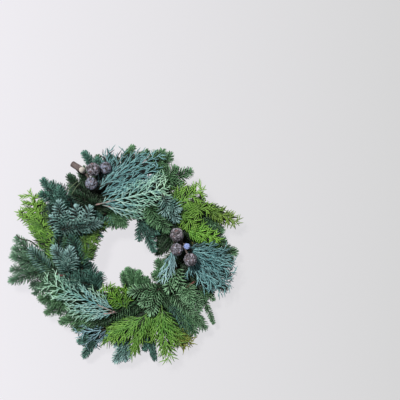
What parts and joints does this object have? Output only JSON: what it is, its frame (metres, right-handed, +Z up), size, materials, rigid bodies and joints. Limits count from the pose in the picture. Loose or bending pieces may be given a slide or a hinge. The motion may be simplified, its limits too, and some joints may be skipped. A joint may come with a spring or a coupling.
{
  "type": "fresh evergreen wreath",
  "caption": "Round wreath of fir, blue cypress and green cedar sprays that all grow one way round a moss ring, with small round cypress cones. It lies flat on its back.",
  "frame": {"origin": "on the surface that the wreath lies on, under the middle of its whole outline", "axes": "+Z up out of the face of the wreath, +Y towards the top of the wreath, where the three cones sit a little to the left"},
  "size_m": [0.476, 0.4524, 0.097],
  "materials": {
    "moss": "matte",
    "wire": "satin",
    "cone": "matte",
    "bud": "matte",
    "bark": "matte",
    "cypress_blue": "matte",
    "cypress_pale": "matte",
    "cedar_green": "satin",
    "cedar_dark": "satin",
    "cedar_pale": "satin",
    "cedar_bright": "satin",
    "cedar_olive": "satin",
    "fir_green": "satin",
    "fir_grey": "satin",
    "fir_blue": "satin"
  },
  "bodies": {
    "root": {"moss_ring": "moss", "wire_frame": "wire", "binding_wire": "wire", "cone_top_1": "cone", "cone_top_2": "cone", "cone_top_3": "cone", "cone_right_1": "cone", "cone_right_2": "cone", "cone_right_3": "cone", "cone_right_bud": "bud", "cone_twig_top": "bark", "cone_twig_right": "bark", "cypress_top_back": "cypress_blue", "cypress_top_front": "cypress_pale", "cypress_right": "cypress_blue", "cypress_right_inner": "cypress_blue", "cypress_bottom_left": "cypress_pale", "cypress_bottom": "cypress_blue", "cedar_left": "cedar_green", "cedar_hole_left": "cedar_dark", "cedar_upper_right": "cedar_green", "cedar_right_tip": "cedar_green", "cedar_right_bright": "cedar_bright", "cedar_bottom_pale": "cedar_pale", "cedar_bottom_olive": "cedar_olive", "cedar_bottom_left": "cedar_pale", "cedar_hole_bottom": "cedar_bright", "fir_left_outer": "fir_grey", "fir_left_silver": "fir_blue", "fir_left_inner": "fir_green", "fir_left_middle": "fir_green", "fir_hole_left": "fir_green", "fir_upper_left_outer": "fir_green", "fir_upper_left_blue": "fir_blue", "fir_upper_left_dark": "fir_green", "fir_upper_left_crest": "fir_blue", "fir_hole_upper_left": "fir_green", "fir_hole_top": "fir_green", "fir_top_left": "fir_green", "fir_top": "fir_green", "fir_top_right": "fir_green", "fir_upper_right_tuft": "fir_green", "fir_upper_right_blue": "fir_blue", "fir_upper_right_inner": "fir_green", "fir_hole_right": "fir_green", "fir_right_upper": "fir_green", "fir_right_outer": "fir_green", "fir_hole_lower_right": "fir_green", "fir_right_star": "fir_blue", "fir_lower_right": "fir_green", "fir_right_hanging": "fir_green", "fir_lower_right_outer": "fir_green", "fir_bottom_fingers": "fir_green", "fir_bottom_blue": "fir_blue", "fir_bottom_inner": "fir_green", "fir_hole_bottom": "fir_green", "fir_lower_left_outer": "fir_green", "fir_lower_left": "fir_green", "fir_bottom_left_fingers": "fir_green"}
  },
  "joints": []
}
